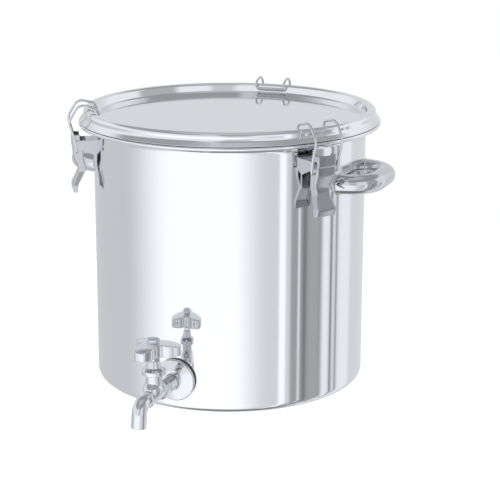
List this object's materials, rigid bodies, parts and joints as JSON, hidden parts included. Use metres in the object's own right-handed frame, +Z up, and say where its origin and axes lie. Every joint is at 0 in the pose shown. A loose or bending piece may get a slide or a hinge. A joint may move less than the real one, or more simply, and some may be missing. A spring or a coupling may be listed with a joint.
{
  "type": "fermenting tank",
  "caption": "Flat-bottomed cylindrical stainless steel fermenting tank with a clipped recessed lid, pipe handles and a low bib tap.",
  "frame": {"origin": "centre of the flat base", "axes": "+Z up, -Y towards the tap, handles on +X and -X"},
  "size_m": [0.4498, 0.517, 0.3775],
  "materials": {
    "tank_steel": "mirror polished stainless steel",
    "lid_steel": "mirror polished stainless steel",
    "pipe_steel": "polished stainless pipe",
    "clip_steel": "pressed and tumbled stainless steel",
    "spring_wire": "drawn stainless spring wire",
    "tap_chrome": "bright chrome plate on brass",
    "brass": "machined brass",
    "silicone": "translucent white food-grade silicone",
    "black_rubber": "matt black rubber",
    "fibre_packing": "compressed fibre packing",
    "index_disc": "blue-grey glossy plastic"
  },
  "bodies": {
    "tank": {"tank_shell": "tank_steel", "tank_rim": "tank_steel", "handle_right": "pipe_steel", "handle_left": "pipe_steel", "tap_body": "tap_chrome", "tap_escutcheon": "tap_chrome", "tap_outer_gasket": "black_rubber", "tap_inner_gasket": "black_rubber", "tap_inner_washer": "brass", "tap_lock_nut": "brass", "tap_bonnet": "tap_chrome", "tap_bonnet_gasket": "fibre_packing", "tap_gland_packing": "fibre_packing", "tap_packing_washer": "brass", "tap_gland_nut": "tap_chrome", "clip_bracket_1": "clip_steel", "clip_pivot_pin_1": "clip_steel", "clip_bracket_2": "clip_steel", "clip_pivot_pin_2": "clip_steel", "clip_bracket_3": "clip_steel", "clip_pivot_pin_3": "clip_steel"},
    "lid": {"lid_pan": "lid_steel", "lid_gasket": "silicone"},
    "clip_lever_1": {"clip_lever_1": "clip_steel"},
    "clip_bail_1": {"clip_bail_1": "spring_wire"},
    "clip_lever_2": {"clip_lever_2": "clip_steel"},
    "clip_bail_2": {"clip_bail_2": "spring_wire"},
    "clip_lever_3": {"clip_lever_3": "clip_steel"},
    "clip_bail_3": {"clip_bail_3": "spring_wire"},
    "tap_valve": {"tap_jumper": "brass", "tap_seat_washer": "black_rubber"},
    "tap_knob": {"tap_spindle": "brass", "tap_handle": "tap_chrome", "tap_handle_screw": "tap_chrome", "tap_index_cap": "tap_chrome", "tap_index_disc": "index_disc"}
  },
  "joints": [
    {"name": "lid_lift", "type": "slide", "parent": "tank", "child": "lid", "axis": [0, 0, 1], "range_m": [0, 0.25]},
    {"name": "clip_lever_1", "type": "hinge", "parent": "tank", "child": "clip_lever_1", "pos_m": [0.17287, -0.11056, 0.3243], "axis": [-0.5388, -0.8425, 0], "range_deg": [0, 130]},
    {"name": "clip_bail_1", "type": "hinge", "parent": "clip_lever_1", "child": "clip_bail_1", "pos_m": [0.17287, -0.11056, 0.314], "axis": [-0.5388, -0.8425, 0], "range_deg": [-116, 0]},
    {"name": "clip_lever_2", "type": "hinge", "parent": "tank", "child": "clip_lever_2", "pos_m": [-0.01217, 0.20484, 0.3243], "axis": [0.9982, 0.0593, 0], "range_deg": [0, 130]},
    {"name": "clip_bail_2", "type": "hinge", "parent": "clip_lever_2", "child": "clip_bail_2", "pos_m": [-0.01217, 0.20484, 0.314], "axis": [0.9982, 0.0593, 0], "range_deg": [-116, 0]},
    {"name": "clip_lever_3", "type": "hinge", "parent": "tank", "child": "clip_lever_3", "pos_m": [-0.17771, -0.1026, 0.3243], "axis": [-0.5, 0.866, 0], "range_deg": [0, 130]},
    {"name": "clip_bail_3", "type": "hinge", "parent": "clip_lever_3", "child": "clip_bail_3", "pos_m": [-0.17771, -0.1026, 0.314], "axis": [-0.5, 0.866, 0], "range_deg": [-116, 0]},
    {"name": "tap_valve_lift", "type": "slide", "parent": "tank", "child": "tap_valve", "axis": [0, 0, 1], "range_m": [0, 0.00315]},
    {"name": "tap_turn", "type": "hinge", "parent": "tap_valve", "child": "tap_knob", "pos_m": [0, -0.2462, 0.1], "axis": [0, 0, 1], "range_deg": [0, 540]}
  ],
  "couplings": [
    {"joint": "clip_bail_1", "follows": "clip_lever_1", "ratio": -0.88},
    {"joint": "clip_bail_2", "follows": "clip_lever_2", "ratio": -0.88},
    {"joint": "clip_bail_3", "follows": "clip_lever_3", "ratio": -0.88},
    {"joint": "tap_turn", "follows": "tap_valve_lift", "rad_per_m": 2992}
  ]
}
